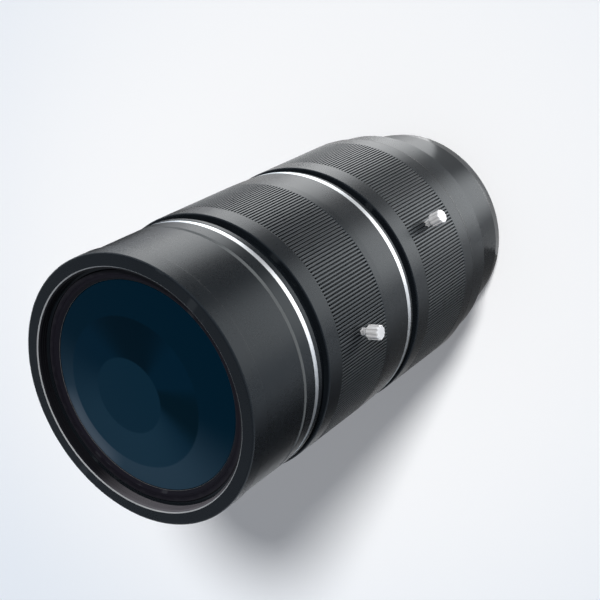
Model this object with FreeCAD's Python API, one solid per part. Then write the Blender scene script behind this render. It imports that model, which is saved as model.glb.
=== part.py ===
import FreeCAD, Part
import math
import os

# Machine vision lens with a focus ring, an iris ring and two thumb lock screws.
# Millimetres. The optical axis is +Z, the front glass looks up, and z = 0 is the
# flange face that meets the camera. The lens stands on the end of its male thread.
# The glass sets the radii: each tube is built round the piece that it holds.

V = FreeCAD.Vector
AXIS = V(0, 0, 1)
ORIGIN = V(0, 0, 0)

# Fits and small forms
RUN = 0.05              # radial clearance of a running or threaded fit
FACE_GAP = 0.10         # end play between a ring and the shoulder beside it
EDGE = 0.3              # small turned bevel on sharp rims
SEAT_WIDTH = 1.5        # ledge that a glass or a ring sits on
OVERCUT = 1.0           # how far a cutting tool runs past the metal

# Glass in front of the iris, from the front: edge radius, edge thickness, spheres
GLASS1_R = 31.0
GLASS1_EDGE = 4.2
GLASS1_FRONT_RADIUS = 600.0
GLASS1_REAR_RADIUS = 260.0
GLASS1_LAND = 1.6       # width of the ledge ground round the front for its ring
GLASS1_STEP = 1.8       # the front surface stands this far in front of the ledge
GLASS2_R = GLASS1_R - 3.5
GLASS2_EDGE = 5.4
GLASS2_FRONT_RADIUS = 55.0
GLASS2_REAR_RADIUS = 75.0
GLASS3_R = GLASS2_R - 5.5
GLASS3_EDGE = 3.6
GLASS3_FRONT_RADIUS = 45.0
PAIR_A_RADIUS = 110.0
GLASS4_EDGE = 6.0
GLASS4_REAR_RADIUS = 110.0
GLASS4_SEAT = 3.0
AIR_1_2 = 7.3           # from the front glass's seat to the second glass's land
AIR_2_3 = 9.7
RING1_LEN = 2.6         # threaded rings that hold the glass
RING1_LIP = 0.8
RING2_LEN = 2.6
RING3_LEN = 2.2

# Glass behind the iris
GLASS5_R = 18.0
GLASS5_EDGE = 8.0
GLASS5_FRONT_RADIUS = 48.0
PAIR_B_RADIUS = 52.0
GLASS6_EDGE = 2.6
GLASS6_REAR_RADIUS = 70.0
GLASS7_R = 21.0
GLASS7_EDGE = 5.2
GLASS7_FRONT_RADIUS = 85.0
GLASS7_REAR_RADIUS = 150.0
GLASS7_SEAT = 2.0
RING4_LEN = 2.2
RING5_LEN = 3.0

# Lens barrel, which carries all the glass, and the rear cell in its end
CELL_WALL = 1.45
CELL_R = GLASS1_R + RUN + CELL_WALL
CELL_REAR_WALL = 2.0
IRIS_BORE_R = CELL_R - CELL_REAR_WALL
CELL_RELIEF_DEPTH = 5.5
CELL_RELIEF_TOP = 5.2   # from the cemented pair's seat down to the relief
CELL_RELIEF_LOW = 7.5   # from the iris seat up to the relief
REAR_CELL_FRONT_WALL = 3.95
REAR_CELL_FRONT_R = GLASS5_R + RUN + REAR_CELL_FRONT_WALL
REAR_CELL_WALL = 3.95
REAR_CELL_R = GLASS7_R + RUN + REAR_CELL_WALL
REAR_FLANGE_LEN = 6.0
REAR_CELL_TAIL = 30.0   # reach of the rear cell behind the lens barrel
REAR_CELL_GAP = 4.6     # from the iris cover down to the rear cell

# Main barrel, which stays still
BARREL_BORE_R = CELL_R + RUN
BARREL_WALL = 2.05
BARREL_R = BARREL_BORE_R + BARREL_WALL
BARREL_FLOOR = 2.0      # web between the neck's bore and the main bore
BARREL_SETBACK = 1.0    # its front end lies this far inside the focus ring
REAR_COLLAR_STEP = 1.5  # the rear collar is this much smaller than the rings
REAR_COLLAR_LEN = 9.6
MID_COLLAR_LEN = 3.4
MID_FLANGE_LEN = 1.5    # front part of the middle collar, in front of the dark gap
MID_FLANGE_STEP = 0.6   # and how much smaller than the rings it is
NECK_CLEAR = 3.0
NECK_BORE_R = REAR_CELL_R + NECK_CLEAR
NECK_WALL = 2.0
NECK_R = NECK_BORE_R + NECK_WALL

# Adapter with a 58 mm male thread
MOUNT_WALL = 2.85
MOUNT_R = NECK_R + RUN + MOUNT_WALL
MOUNT_LEN = 19.5
MOUNT_TAPER_LEN = 4.1
MOUNT_TAPER = 0.8
MOUNT_END_R = MOUNT_R - MOUNT_TAPER
MOUNT_FLOOR = 6.0       # thickness of the flange that carries the thread
FLANGE_WIDTH = 3.1
THREAD_R = MOUNT_END_R - FLANGE_WIDTH
THREAD_WALL = 3.0
THREAD_LEN = 4.0
THREAD_LEAD = 0.4       # bevel on the first turn
GRUB_R = 1.25
GRUB_LEN = MOUNT_WALL - 0.25
GRUB_AZIMUTHS = (60.0, 180.0)
GRUB_DROP = 7.5         # below the adapter's top edge
GRUB_SOCKET_R = 0.6
GRUB_SOCKET_DEPTH = 1.2

# Nose skirt, and the rings that turn by hand round it
SKIRT_CLEAR = 0.4
SKIRT_BORE_R = BARREL_R + SKIRT_CLEAR
SKIRT_WALL = 1.1
SKIRT_R = SKIRT_BORE_R + SKIRT_WALL
SKIRT_IN_RING = 12.5    # length of skirt inside the focus ring at rest
FOCUS_BORE_R = SKIRT_R + RUN
RING_WALL = 1.8
RING_R = FOCUS_BORE_R + RING_WALL
RING_BORE_R = BARREL_R + RUN
IRIS_RING_LEN = 36.4
IRIS_FRONT_LAND = 6.6
IRIS_REAR_BEVEL = 0.6
IRIS_REAR_BEVEL_LEN = 1.2
FOCUS_RING_LEN = 43.8
FOCUS_FRONT_LAND = 6.3
FOCUS_BORE_LEN = 23.8   # depth of the wide bore in the focus ring's front
FOCUS_TRAVEL = 6.0
REAR_TAPER = 0.25       # the focus ring narrows a little towards its rear edge
REAR_TAPER_LEN = 10.0
RETAINER_LEN = 2.4
RETAINER_CLEAR = 0.15
KNURL_LEN = 23.2
KNURL_COUNT = 240
KNURL_DEPTH = 0.42
KNURL_TOP_SHARE = 0.46  # share of the pitch that is rib top
KNURL_FLOOR_SHARE = 0.14
BRIGHT_WIDTH = 1.6      # bright ring, and the neck that it sits on
BRIGHT_SINK = 0.1       # how far it lies under the black surface beside it

# Nose: the front shell that moves with the glass
NOSE_REACH = 33.5       # from the focus ring's face to the front rim
NOSE_STEP = 0.65        # the nose is this much smaller than the rings
NOSE_R = RING_R - NOSE_STEP
RIM_STEP = 0.4
RIM_R = NOSE_R + RIM_STEP
RIM_LEN = 6.0
RIM_ROUND = 0.5
FILTER_STEP = 0.55
FILTER_R = CELL_R + RUN + FILTER_STEP   # 67 mm filter thread, at its crests
FILTER_DEPTH = 3.0
MOUTH_LEAD = 0.85
NOSE_EDGE = 27.8        # distance of the nose's rear edge behind the front face
NOSE_COLLAR_LEN = 1.7   # black ring that clamps the bright ring on the nose
NOSE_GROOVE = 22.5      # distance of the joint groove behind the front face
NOSE_GROOVE_WIDTH = 1.1
NOSE_GROOVE_DEPTH = 0.55
NOSE_SOLID = 24.0       # length of the thick front part

# Keys that keep the nose from turning
KEY_LEN = 4.0
KEY_WIDTH = 4.0
KEY_DEPTH = 0.6         # how far a key stands into the skirt's groove
KEY_TOP_R = SKIRT_BORE_R + KEY_DEPTH
KEY_SINK = 1.1
KEY_FRONT_GAP = 2.0     # from the barrel's front end to the key
KEY_AZIMUTHS = (27.0, 207.0)
KEY_SCREW_R = 0.8
KEY_SCREW_HEAD_R = 1.5
KEY_SCREW_HEAD_LEN = 1.0

# Iris
IRIS_FLOOR = 2.5
IRIS_DEPTH = 8.0
HOUSING_WALL = 1.85
IRIS_WALL_BORE_R = IRIS_BORE_R - RUN - HOUSING_WALL
BLADES = 8
BLADE_THICK = 0.12
BLADE_PITCH = 0.22
BLADE_GAP = 0.10
BLADE_WIDTH = 7.8
BLADE_SPAN = 104.0
BLADE_SWING = 26.0
PIVOT_INSET = 4.1
PIVOT_R = IRIS_WALL_BORE_R - PIVOT_INSET
PIVOT_CLEAR = 1.7
BLADE_OUT_R = PIVOT_R - PIVOT_CLEAR
BLADE_IN_R = BLADE_OUT_R - BLADE_WIDTH
IRIS_LIP = 0.5          # the housing's opening hides the open blades
IRIS_OPEN_R = BLADE_IN_R - IRIS_LIP
STUD_R = 0.5
STUD_LOBE_R = 1.3
ROOT_LOBE_R = 1.95
STUD_IN_FLOOR = 1.25
STUD_IN_CAM = 1.76
LEVER = 4.0             # from a blade's pivot stud to its drive stud
LEVER_START = -103.0    # direction of the lever at rest, seen from the front
IRIS_TURN = 32.0
CAM_THICK = 2.2
CAM_LIP = 1.0
CAM_BORE_R = BLADE_IN_R + CAM_LIP
COVER_THICK = 2.4

# Drive from the iris ring to the cam ring
DRIVE_RISE = 28.8       # above the iris ring's rear face
DRIVE_TO_IRIS = 18.0    # from the drive pin up to the iris seat
DRIVE_AZIMUTH = 100.0
DRIVE_PIN_R = 1.5
DRIVE_PIN_SINK = 0.75   # below the ring's surface
TONGUE_CLEAR = 0.2
TONGUE_THICK = 1.8
TONGUE_R = IRIS_WALL_BORE_R - TONGUE_CLEAR
TONGUE_BORE_R = TONGUE_R - TONGUE_THICK
TONGUE_WIDTH = 7.0
TONGUE_END = 2.6        # from the tongue's end down to the rear cell's flange
SLOT_SPARE = 0.4        # extra room at each end of a slot

# Thumb lock screws
LOCK_R = 1.0
LOCK_PITCH = 0.4
LOCK_NECK = 2.0         # bare shank between ring and head
LOCK_HEAD_R = 2.1
LOCK_HEAD_LEN = 3.8
LOCK_FLUTES = 10
LOCK_FLUTE_R = 0.32
LOCK_BEVEL = 0.25
FOCUS_LOCK_AZIMUTH = -90.0
FOCUS_LOCK_RISE = 3.8   # above the retaining ring
IRIS_LOCK_AZIMUTH = -65.0
IRIS_LOCK_RISE = 19.3   # above the iris ring's rear face
SHOE_CLEAR = 0.05
SHOE_R = LOCK_R - SHOE_CLEAR
SHOE_LEN = 0.8
SHOE_STEM_R = 0.5
SHOE_STEM_LEN = 0.9
SHOE_LIFT = LOCK_PITCH + RUN   # shoe's height over the barrel when loose

# Heights along the axis, added up from the flange
Z_REAR_COLLAR = MOUNT_LEN
Z_IRIS_RING = Z_REAR_COLLAR + REAR_COLLAR_LEN + FACE_GAP
Z_MID_COLLAR = Z_IRIS_RING + IRIS_RING_LEN + FACE_GAP
Z_FOCUS_RING = Z_MID_COLLAR + MID_COLLAR_LEN + FACE_GAP
Z_FOCUS_FACE = Z_FOCUS_RING + FOCUS_RING_LEN
Z_FRONT = Z_FOCUS_FACE + NOSE_REACH
Z_SKIRT_END = Z_FOCUS_FACE - SKIRT_IN_RING
Z_BARREL_END = Z_FOCUS_FACE - BARREL_SETBACK
Z_KEY = Z_BARREL_END - KEY_FRONT_GAP - KEY_LEN / 2
Z_WEB_TOP = Z_FOCUS_FACE - FOCUS_BORE_LEN
Z_RETAINER = Z_WEB_TOP + FACE_GAP
Z_FOCUS_LOCK = Z_RETAINER + RETAINER_LEN + FOCUS_LOCK_RISE
Z_IRIS_LOCK = Z_IRIS_RING + IRIS_LOCK_RISE
Z_GRUB = MOUNT_LEN - GRUB_DROP
Z_CELL_FRONT = Z_FRONT - FILTER_DEPTH
Z_LAND1 = Z_CELL_FRONT - RING1_LEN
Z_SEAT1 = Z_LAND1 - GLASS1_EDGE
Z_LAND2 = Z_SEAT1 - AIR_1_2
Z_SEAT2 = Z_LAND2 - GLASS2_EDGE
Z_LAND3 = Z_SEAT2 - AIR_2_3
Z_LAND4 = Z_LAND3 - GLASS3_EDGE
Z_SEAT4 = Z_LAND4 - GLASS4_EDGE
Z_DRIVE = Z_IRIS_RING + DRIVE_RISE
Z_IRIS_SEAT = Z_DRIVE + DRIVE_TO_IRIS
Z_CAM_TOP = (Z_IRIS_SEAT - IRIS_FLOOR - (BLADES - 1) * BLADE_PITCH
             - BLADE_THICK - 2 * BLADE_GAP)
Z_COVER_TOP = Z_CAM_TOP - CAM_THICK - BLADE_GAP
Z_WINDOW_LOW = Z_DRIVE - FOCUS_TRAVEL - DRIVE_PIN_R - SLOT_SPARE
Z_WINDOW_TOP = Z_DRIVE + DRIVE_PIN_R + SLOT_SPARE
Z_TONGUE = Z_WINDOW_LOW - DRIVE_PIN_R
Z_CELL_END = Z_TONGUE - TONGUE_END - REAR_FLANGE_LEN
Z_REAR_CELL = Z_CELL_END - REAR_CELL_TAIL
Z_REAR_CELL_TOP = Z_COVER_TOP - COVER_THICK - REAR_CELL_GAP
Z_LAND5 = Z_REAR_CELL_TOP - RING4_LEN
Z_LAND6 = Z_LAND5 - GLASS5_EDGE
Z_SEAT6 = Z_LAND6 - GLASS6_EDGE
Z_LAND7 = Z_REAR_CELL + RING5_LEN
Z_SEAT7 = Z_LAND7 + GLASS7_EDGE


def revolve(points):
    """Solid of revolution about Z from a closed outline of (radius, height)."""
    corners = [V(r, 0, z) for r, z in points]
    outline = Part.makePolygon(corners + corners[:1])
    return Part.Face(outline).revolve(ORIGIN, AXIS, 360)


def tube(bore, radius, low, high):
    """Plain tube or ring between two heights."""
    return revolve([(bore, low), (radius, low), (radius, high), (bore, high)])


def radial_pin(radius, inner, outer, azimuth, z):
    """Round pin or hole on a radial line, between two distances from the axis."""
    pin = Part.makeCylinder(radius, outer - inner, V(inner, 0, z), V(1, 0, 0))
    return turned(pin, azimuth)


def turned(shape, azimuth):
    """Copy of a shape turned about the optical axis."""
    copy = shape.copy()
    copy.rotate(ORIGIN, AXIS, azimuth)
    return copy


def sector(bore, radius, low, high, start, turn):
    """Part of a ring: a block between two radii that spans an angle."""
    corners = [V(bore, 0, low), V(radius, 0, low), V(radius, 0, high), V(bore, 0, high)]
    face = Part.Face(Part.makePolygon(corners + corners[:1]))
    return turned(face.revolve(ORIGIN, AXIS, turn), start)


def sag(radius, height):
    """Depth of a sphere's cap at a distance from its axis."""
    return radius - math.sqrt(radius * radius - height * height)


def lens(edge_r, front, rear):
    """Glass with a ground edge. front and rear are (land height, clear radius,
    sphere radius, bulge), where bulge is +1 towards +Z, -1 towards -Z, 0 flat."""
    edges = []
    ends = []
    for land, clear, sphere, bulge in (front, rear):
        if bulge == 0:
            ends.append(V(0, 0, land))
            edges.append([Part.LineSegment(ends[-1], V(edge_r, 0, land)).toShape()])
            continue
        vertex = V(0, 0, land + bulge * sag(sphere, clear))
        half = clear / 2
        middle = V(half, 0, vertex.z - bulge * sag(sphere, half))
        rim = V(clear, 0, land)
        arc = Part.Arc(vertex, middle, rim).toShape()
        edges.append([arc])
        if clear < edge_r:
            edges[-1].append(Part.LineSegment(rim, V(edge_r, 0, land)).toShape())
        ends.append(vertex)
    side = Part.LineSegment(V(edge_r, 0, front[0]), V(edge_r, 0, rear[0])).toShape()
    axis_line = Part.LineSegment(ends[1], ends[0]).toShape()
    outline = edges[0] + [side] + edges[1] + [axis_line]
    wire = Part.Wire(Part.__sortEdges__(outline))
    return Part.Face(wire).revolve(ORIGIN, AXIS, 360)


def knurl_cutter(low, high):
    """Everything outside the ribs: a ring whose bore has one tooth per gap."""
    pitch = 2 * math.pi / KNURL_COUNT
    top = RING_R
    root = RING_R - KNURL_DEPTH
    points = []
    for rib in range(KNURL_COUNT):
        middle = rib * pitch
        for share, radius in ((-KNURL_TOP_SHARE, top), (KNURL_TOP_SHARE, top),
                              (1 - KNURL_FLOOR_SHARE, root), (1 + KNURL_FLOOR_SHARE, root)):
            angle = middle + share * pitch / 2
            points.append(V(radius * math.cos(angle), radius * math.sin(angle), low))
    ribs = Part.Face(Part.makePolygon(points + points[:1]))
    ribs.translate(V(0, 0, -1))
    ribbed_bar = ribs.extrude(V(0, 0, high - low + 2))
    around = Part.makeCylinder(RING_R + 1, high - low, V(0, 0, low))
    return around.cut(ribbed_bar)


# Fixed pieces

def rear_mount():
    bore = THREAD_R - THREAD_WALL
    body = revolve([
        (bore, -THREAD_LEN), (THREAD_R - THREAD_LEAD, -THREAD_LEN),
        (THREAD_R, -THREAD_LEN + THREAD_LEAD), (THREAD_R, 0), (MOUNT_END_R, 0),
        (MOUNT_R, MOUNT_TAPER_LEN), (MOUNT_R, MOUNT_LEN),
        (NECK_R + RUN, MOUNT_LEN), (NECK_R + RUN, MOUNT_FLOOR), (bore, MOUNT_FLOOR)])
    for azimuth in GRUB_AZIMUTHS:
        hole = radial_pin(GRUB_R + RUN, NECK_R - OVERCUT, MOUNT_R + OVERCUT, azimuth, Z_GRUB)
        body = body.cut(hole)
    return body


def mount_grub_screws():
    foot = NECK_R + RUN
    end = foot + GRUB_LEN
    screws = []
    for azimuth in GRUB_AZIMUTHS:
        screw = radial_pin(GRUB_R, foot, end, azimuth, Z_GRUB)
        socket = radial_pin(GRUB_SOCKET_R, end - GRUB_SOCKET_DEPTH, end + OVERCUT, azimuth, Z_GRUB)
        screws.append(screw.cut(socket))
    return Part.makeCompound(screws)


def main_barrel():
    rear_collar_r = RING_R - REAR_COLLAR_STEP
    rear_collar_top = Z_REAR_COLLAR + REAR_COLLAR_LEN
    mid_collar_top = Z_MID_COLLAR + MID_COLLAR_LEN
    flange_low = mid_collar_top - MID_FLANGE_LEN
    flange_r = RING_R - MID_FLANGE_STEP
    body = revolve([
        (NECK_BORE_R, MOUNT_FLOOR), (NECK_R, MOUNT_FLOOR), (NECK_R, Z_REAR_COLLAR),
        (rear_collar_r - EDGE, Z_REAR_COLLAR), (rear_collar_r, Z_REAR_COLLAR + EDGE),
        (rear_collar_r, rear_collar_top), (BARREL_R, rear_collar_top),
        (BARREL_R, Z_MID_COLLAR), (SKIRT_R, Z_MID_COLLAR), (SKIRT_R, flange_low),
        (flange_r - EDGE, flange_low), (flange_r, flange_low + EDGE),
        (flange_r, mid_collar_top), (BARREL_R, mid_collar_top),
        (BARREL_R, Z_BARREL_END), (BARREL_BORE_R, Z_BARREL_END),
        (BARREL_BORE_R, Z_IRIS_RING + BARREL_FLOOR), (NECK_BORE_R, Z_IRIS_RING + BARREL_FLOOR)])
    for azimuth in KEY_AZIMUTHS:
        body = body.cut(key_block(BARREL_R - KEY_SINK, BARREL_R + OVERCUT, KEY_LEN, azimuth))
        screw_hole = radial_pin(KEY_SCREW_R + RUN, BARREL_BORE_R - OVERCUT, BARREL_R, azimuth, Z_KEY)
        body = body.cut(screw_hole)
    return body.cut(drive_slot(BARREL_BORE_R, BARREL_R, Z_DRIVE - DRIVE_PIN_R - SLOT_SPARE, Z_WINDOW_TOP))


def drive_slot(bore, radius, low, high):
    """Slot round a tube's wall in which the drive pin swings with the iris ring."""
    spare = math.degrees((DRIVE_PIN_R + SLOT_SPARE) / bore)
    return sector(bore - OVERCUT, radius + OVERCUT, low, high,
                  DRIVE_AZIMUTH - spare, IRIS_TURN + 2 * spare)


def key_block(inner, outer, length, azimuth):
    corner = V(inner, -KEY_WIDTH / 2, Z_KEY - KEY_LEN / 2)
    return turned(Part.makeBox(outer - inner, KEY_WIDTH, length, corner), azimuth)


def guide_keys():
    head_seat = KEY_TOP_R - EDGE - KEY_SCREW_HEAD_LEN
    keys = []
    for azimuth in KEY_AZIMUTHS:
        key = key_block(BARREL_R - KEY_SINK, KEY_TOP_R, KEY_LEN, azimuth)
        head_room = radial_pin(KEY_SCREW_HEAD_R + RUN, head_seat, KEY_TOP_R + OVERCUT, azimuth, Z_KEY)
        shank_room = radial_pin(KEY_SCREW_R + RUN, BARREL_BORE_R, KEY_TOP_R, azimuth, Z_KEY)
        keys.append(key.cut(head_room).cut(shank_room))
    return Part.makeCompound(keys)


def key_screws():
    head_seat = KEY_TOP_R - EDGE - KEY_SCREW_HEAD_LEN
    screws = []
    for azimuth in KEY_AZIMUTHS:
        head = radial_pin(KEY_SCREW_HEAD_R, head_seat, KEY_TOP_R - EDGE, azimuth, Z_KEY)
        shank = radial_pin(KEY_SCREW_R, BARREL_BORE_R + EDGE, head_seat + EDGE, azimuth, Z_KEY)
        screws.append(head.fuse(shank).removeSplitter())
    return Part.makeCompound(screws)


def focus_retainer():
    return tube(BARREL_R + RUN, FOCUS_BORE_R - RETAINER_CLEAR, Z_RETAINER, Z_RETAINER + RETAINER_LEN)


# Rings that turn by hand

def focus_ring():
    low = Z_FOCUS_RING
    high = Z_FOCUS_FACE
    neck_top = low + BRIGHT_WIDTH
    body = revolve([
        (RING_BORE_R, low), (SKIRT_R, low), (SKIRT_R, neck_top),
        (RING_R - REAR_TAPER - EDGE, neck_top), (RING_R - REAR_TAPER, neck_top + EDGE),
        (RING_R, neck_top + REAR_TAPER_LEN), (RING_R, high - EDGE), (RING_R - EDGE, high),
        (FOCUS_BORE_R, high), (FOCUS_BORE_R, Z_WEB_TOP), (RING_BORE_R, Z_WEB_TOP)])
    knurl_top = high - FOCUS_FRONT_LAND
    body = body.cut(knurl_cutter(knurl_top - KNURL_LEN, knurl_top))
    return body.cut(lock_hole(FOCUS_LOCK_AZIMUTH, Z_FOCUS_LOCK))


def lock_hole(azimuth, z):
    return radial_pin(LOCK_R + RUN, BARREL_R, RING_R + OVERCUT, azimuth, z)


def bright_ring(low, beside_r):
    return tube(SKIRT_R + RUN, beside_r - BRIGHT_SINK, low, low + BRIGHT_WIDTH)


def iris_ring():
    low = Z_IRIS_RING
    high = low + IRIS_RING_LEN
    body = revolve([
        (RING_BORE_R, low), (RING_R - IRIS_REAR_BEVEL, low), (RING_R, low + IRIS_REAR_BEVEL_LEN),
        (RING_R, high - EDGE), (RING_R - EDGE, high), (RING_BORE_R, high)])
    knurl_top = high - IRIS_FRONT_LAND
    body = body.cut(knurl_cutter(knurl_top - KNURL_LEN, knurl_top))
    drive_hole = radial_pin(DRIVE_PIN_R + RUN, BARREL_R, RING_R + OVERCUT, DRIVE_AZIMUTH, Z_DRIVE)
    return body.cut(lock_hole(IRIS_LOCK_AZIMUTH, Z_IRIS_LOCK)).cut(drive_hole)


def iris_drive_pin():
    return radial_pin(DRIVE_PIN_R, TONGUE_BORE_R + EDGE, RING_R - DRIVE_PIN_SINK, DRIVE_AZIMUTH, Z_DRIVE)


# Thumb lock screws, each with a brass shoe that presses on the barrel

def lock_shoe(azimuth, z):
    base = BARREL_R + SHOE_LIFT
    pad_top = base + SHOE_LEN
    pad = radial_pin(SHOE_R, base, pad_top, azimuth, z)
    stem = radial_pin(SHOE_STEM_R, base, pad_top + SHOE_STEM_LEN, azimuth, z)
    return pad.fuse(stem).removeSplitter()


def lock_screw(azimuth, z):
    tip = BARREL_R + SHOE_LIFT + SHOE_LEN + RUN
    head_low = RING_R + LOCK_NECK
    outward = V(1, 0, 0)
    shank = Part.makeCylinder(LOCK_R, head_low + EDGE - tip, V(tip, 0, z), outward)
    head = Part.makeCylinder(LOCK_HEAD_R, LOCK_HEAD_LEN, V(head_low, 0, z), outward)
    head = head.makeChamfer(LOCK_BEVEL, [e for e in head.Edges if len(e.Vertexes) == 1])
    for flute in range(LOCK_FLUTES):
        angle = 2 * math.pi * flute / LOCK_FLUTES
        across = LOCK_HEAD_R * math.cos(angle)
        up = LOCK_HEAD_R * math.sin(angle)
        start = V(head_low - OVERCUT, across, z + up)
        head = head.cut(Part.makeCylinder(LOCK_FLUTE_R, LOCK_HEAD_LEN + 2 * OVERCUT, start, outward))
    socket_len = SHOE_STEM_LEN + RUN + OVERCUT
    socket = Part.makeCylinder(SHOE_STEM_R + RUN, socket_len, V(tip - OVERCUT, 0, z), outward)
    return turned(shank.fuse(head).cut(socket).removeSplitter(), azimuth)


# Nose and lens barrel

def nose_shell():
    edge_z = Z_FRONT - NOSE_EDGE
    groove_z = Z_FRONT - NOSE_GROOVE
    rim_z = Z_FRONT - RIM_LEN
    solid_z = Z_FRONT - NOSE_SOLID
    corner = RIM_ROUND * (1 - math.sqrt(0.5))
    body = revolve([
        (FILTER_R + MOUTH_LEAD, Z_FRONT), (RIM_R - RIM_ROUND, Z_FRONT),
        (RIM_R - corner, Z_FRONT - corner), (RIM_R, Z_FRONT - RIM_ROUND),
        (RIM_R, rim_z + EDGE), (NOSE_R, rim_z), (NOSE_R, groove_z),
        (NOSE_R - NOSE_GROOVE_DEPTH, groove_z - NOSE_GROOVE_WIDTH / 3),
        (NOSE_R, groove_z - NOSE_GROOVE_WIDTH), (NOSE_R, edge_z),
        (SKIRT_R, edge_z), (SKIRT_R, Z_SKIRT_END), (SKIRT_BORE_R, Z_SKIRT_END),
        (SKIRT_BORE_R, solid_z), (CELL_R + RUN, solid_z),
        (CELL_R + RUN, Z_CELL_FRONT), (FILTER_R, Z_CELL_FRONT), (FILTER_R, Z_FRONT - MOUTH_LEAD)])
    width = KEY_WIDTH + 2 * RUN
    length = Z_KEY + KEY_LEN / 2 + SLOT_SPARE - Z_SKIRT_END + OVERCUT
    depth = KEY_DEPTH + RUN + OVERCUT
    for azimuth in KEY_AZIMUTHS:
        low_corner = V(SKIRT_BORE_R - OVERCUT, -width / 2, Z_SKIRT_END - OVERCUT)
        body = body.cut(turned(Part.makeBox(depth, width, length, low_corner), azimuth))
    return body


def nose_trim_collar():
    high = Z_FRONT - NOSE_EDGE - BRIGHT_WIDTH
    low = high - NOSE_COLLAR_LEN
    return revolve([(SKIRT_R + RUN, low), (NOSE_R - EDGE, low), (NOSE_R, low + EDGE),
                    (NOSE_R, high), (SKIRT_R + RUN, high)])


def lens_barrel():
    relief_r = CELL_R - CELL_RELIEF_DEPTH
    relief_top = Z_SEAT4 - CELL_RELIEF_TOP
    relief_low = Z_IRIS_SEAT + CELL_RELIEF_LOW
    clear4 = GLASS3_R - GLASS4_SEAT
    body = revolve([
        (GLASS1_R + RUN, Z_CELL_FRONT), (CELL_R - EDGE, Z_CELL_FRONT), (CELL_R, Z_CELL_FRONT - EDGE),
        (CELL_R, relief_top), (relief_r, relief_top), (relief_r, relief_low),
        (CELL_R, relief_low), (CELL_R, Z_CELL_END), (IRIS_BORE_R, Z_CELL_END),
        (IRIS_BORE_R, Z_IRIS_SEAT), (clear4 - SEAT_WIDTH, Z_IRIS_SEAT),
        (clear4, relief_low), (clear4, Z_SEAT4), (GLASS3_R + RUN, Z_SEAT4),
        (GLASS3_R + RUN, Z_LAND3 + RING3_LEN), (GLASS2_R - SEAT_WIDTH, Z_SEAT2),
        (GLASS2_R + RUN, Z_SEAT2), (GLASS2_R + RUN, Z_LAND2 + RING2_LEN),
        (GLASS1_R - SEAT_WIDTH, Z_SEAT1), (GLASS1_R + RUN, Z_SEAT1)])
    return body.cut(drive_slot(IRIS_BORE_R, CELL_R, Z_WINDOW_LOW, Z_WINDOW_TOP))


def front_retaining_ring():
    bore = GLASS1_R - GLASS1_LAND + RUN
    top = Z_CELL_FRONT
    return revolve([(bore, Z_LAND1), (GLASS1_R, Z_LAND1), (GLASS1_R, top),
                    (bore + RING1_LIP, top), (bore, top - RING1_LIP)])


def glass_front():
    clear = GLASS1_R - GLASS1_LAND
    face = Z_LAND1 + GLASS1_STEP
    blank = lens(GLASS1_R, (face, clear, GLASS1_FRONT_RADIUS, 1),
                 (Z_SEAT1, GLASS1_R - SEAT_WIDTH, GLASS1_REAR_RADIUS, 1))
    return blank.cut(tube(clear, GLASS1_R + OVERCUT, Z_LAND1, face + OVERCUT))


def second_retaining_ring():
    return tube(GLASS2_R - SEAT_WIDTH, GLASS2_R, Z_LAND2, Z_LAND2 + RING2_LEN)


def glass_second():
    clear = GLASS2_R - SEAT_WIDTH
    return lens(GLASS2_R, (Z_LAND2, clear, GLASS2_FRONT_RADIUS, 1),
                (Z_SEAT2, clear, GLASS2_REAR_RADIUS, 1))


def third_retaining_ring():
    return tube(GLASS3_R - SEAT_WIDTH, GLASS3_R, Z_LAND3, Z_LAND3 + RING3_LEN)


def glass_third():
    return lens(GLASS3_R, (Z_LAND3, GLASS3_R - SEAT_WIDTH, GLASS3_FRONT_RADIUS, 1),
                (Z_LAND4, GLASS3_R, PAIR_A_RADIUS, -1))


def glass_fourth():
    return lens(GLASS3_R, (Z_LAND4, GLASS3_R, PAIR_A_RADIUS, -1),
                (Z_SEAT4, GLASS3_R - GLASS4_SEAT, GLASS4_REAR_RADIUS, 1))


# Iris: eight blades between a housing with pivot holes and a cam ring with slots

def iris_housing():
    top = Z_IRIS_SEAT
    low = top - IRIS_DEPTH
    floor = top - IRIS_FLOOR
    body = revolve([
        (IRIS_OPEN_R, top), (IRIS_BORE_R - RUN, top), (IRIS_BORE_R - RUN, low),
        (IRIS_WALL_BORE_R, low), (IRIS_WALL_BORE_R, floor), (IRIS_OPEN_R, floor)])
    for blade in range(BLADES):
        hole_len = OVERCUT + STUD_IN_FLOOR + RUN
        hole = Part.makeCylinder(STUD_R + RUN, hole_len, V(PIVOT_R, 0, floor - OVERCUT))
        body = body.cut(turned(hole, blade * 360 / BLADES))
    return body


def drive_stud(swing):
    """Place of a blade's drive stud when the blade has swung in by an angle."""
    angle = math.radians(LEVER_START + swing)
    return V(PIVOT_R + LEVER * math.cos(angle), LEVER * math.sin(angle), 0)


def bar(start, end, radius, low, height):
    """Flat link with round ends between two points."""
    along = end - start
    side = V(-along.y, along.x, 0).normalize() * radius
    corners = [start + side, start - side, end - side, end + side]
    lifted = [p + V(0, 0, low) for p in corners]
    link = Part.Face(Part.makePolygon(lifted + lifted[:1])).extrude(V(0, 0, height))
    for centre in (start, end):
        link = link.fuse(Part.makeCylinder(radius, height, centre + V(0, 0, low)))
    return link


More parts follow.
